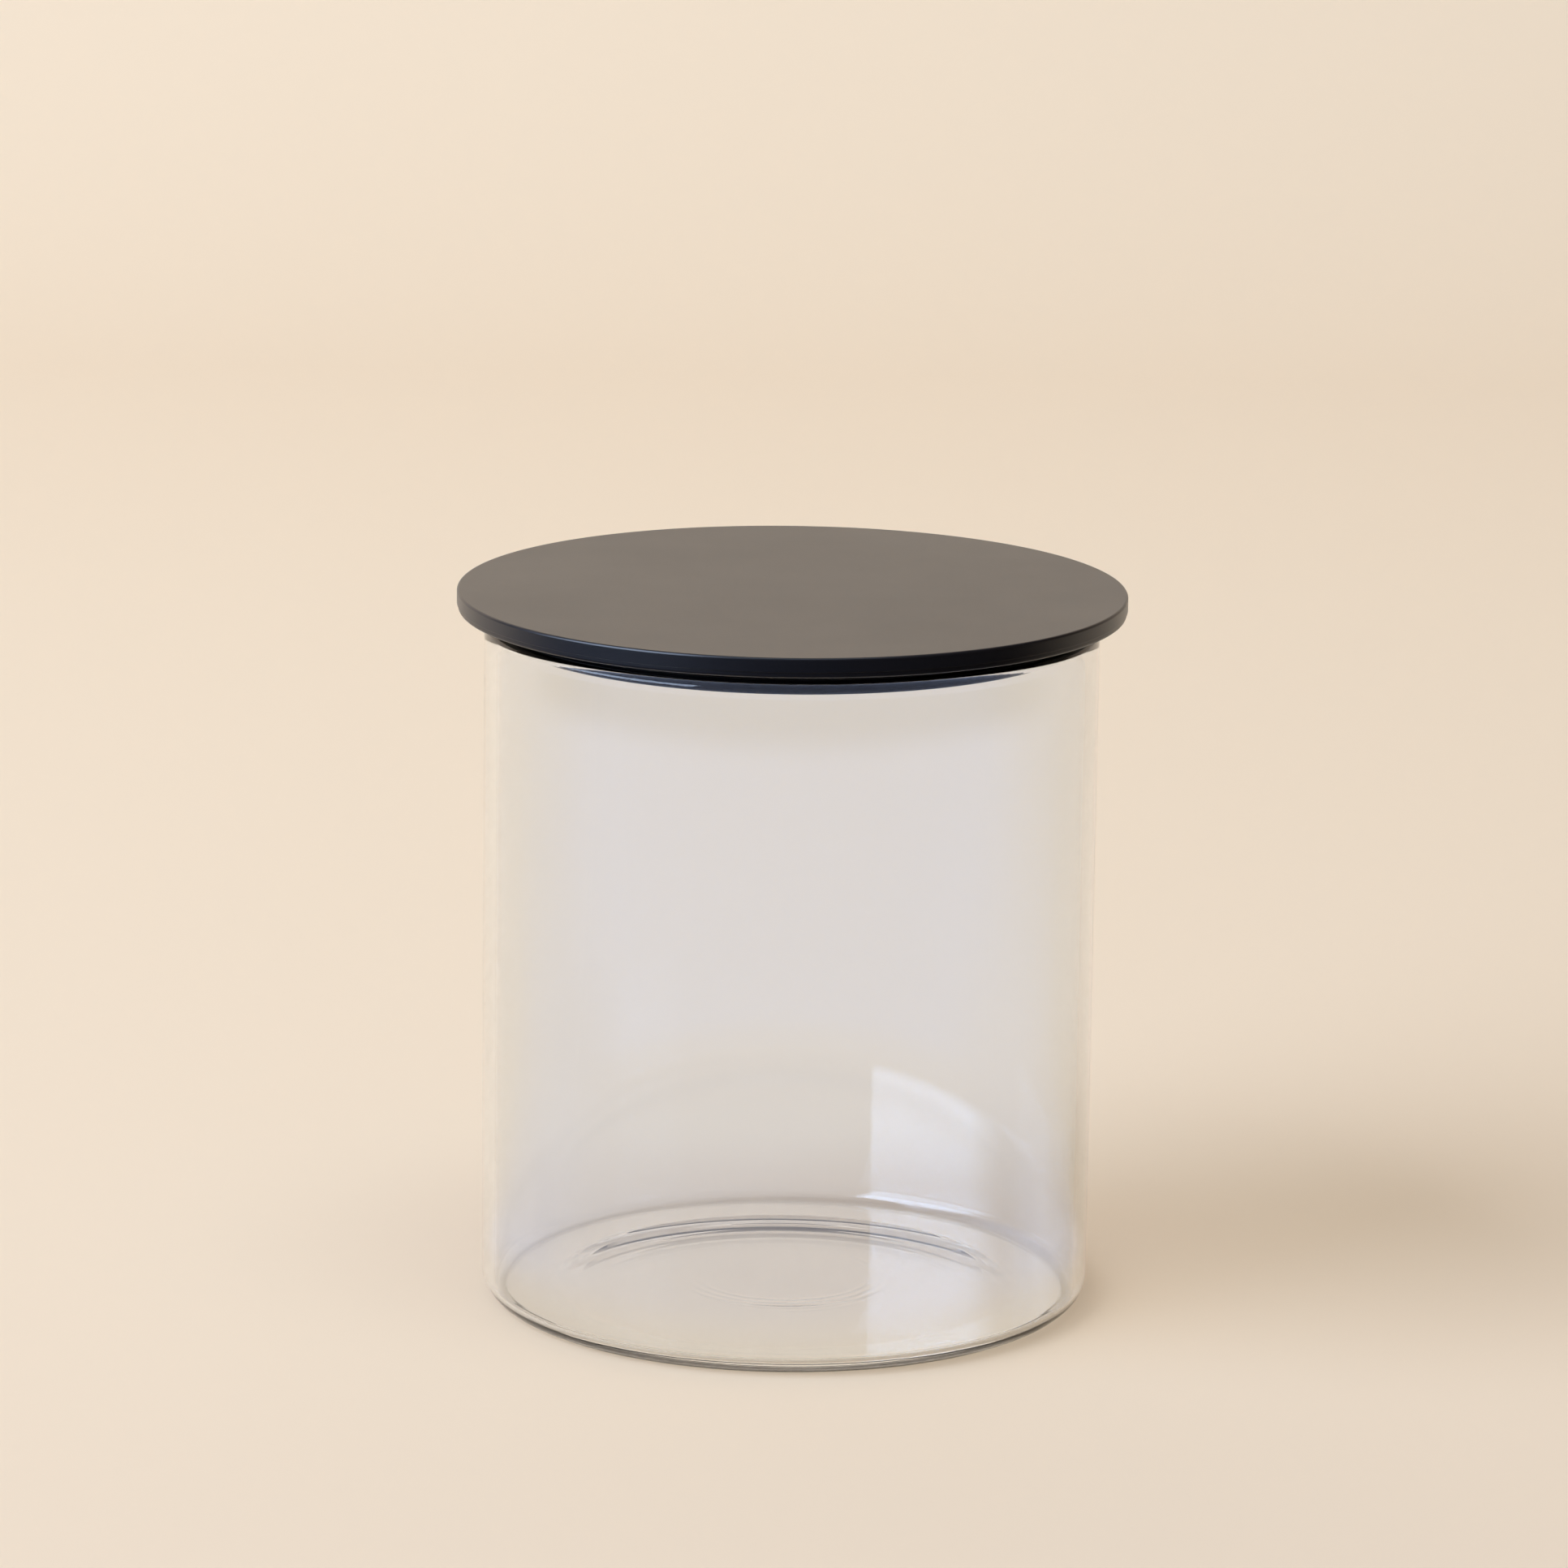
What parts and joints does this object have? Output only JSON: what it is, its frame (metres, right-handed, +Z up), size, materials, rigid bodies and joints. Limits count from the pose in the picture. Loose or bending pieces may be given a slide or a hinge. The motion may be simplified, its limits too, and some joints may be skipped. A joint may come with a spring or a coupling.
{
  "type": "lidded glass canister",
  "caption": "Straight-sided clear glass storage canister with a flat matte black push-in lid sealed by a ribbed silicone ring.",
  "frame": {"origin": "centre of the standing ring, on the surface that the canister stands on", "axes": "+Z up along the jar's axis, towards the lid; X and Y are free because every visible surface is turned about Z"},
  "size_m": [0.11, 0.11, 0.1195],
  "materials": {
    "clear_glass": "clear, fire-polished",
    "black_lid_plastic": "matte, fine spark-eroded grain",
    "black_silicone": "satin"
  },
  "bodies": {
    "jar": {"glass_body": "clear_glass"},
    "seal": {"seal_ring": "black_silicone"},
    "lid": {"lid_cover": "black_lid_plastic", "lid_plug": "black_lid_plastic"}
  },
  "joints": [
    {"name": "lid_lift", "type": "slide", "parent": "jar", "child": "seal", "axis": [0, 0, 1], "range_m": [0, 0.1]},
    {"name": "lid_turn", "type": "hinge", "parent": "seal", "child": "lid", "pos_m": [0, 0, 0.1165], "axis": [0, 0, 1], "continuous": true}
  ]
}
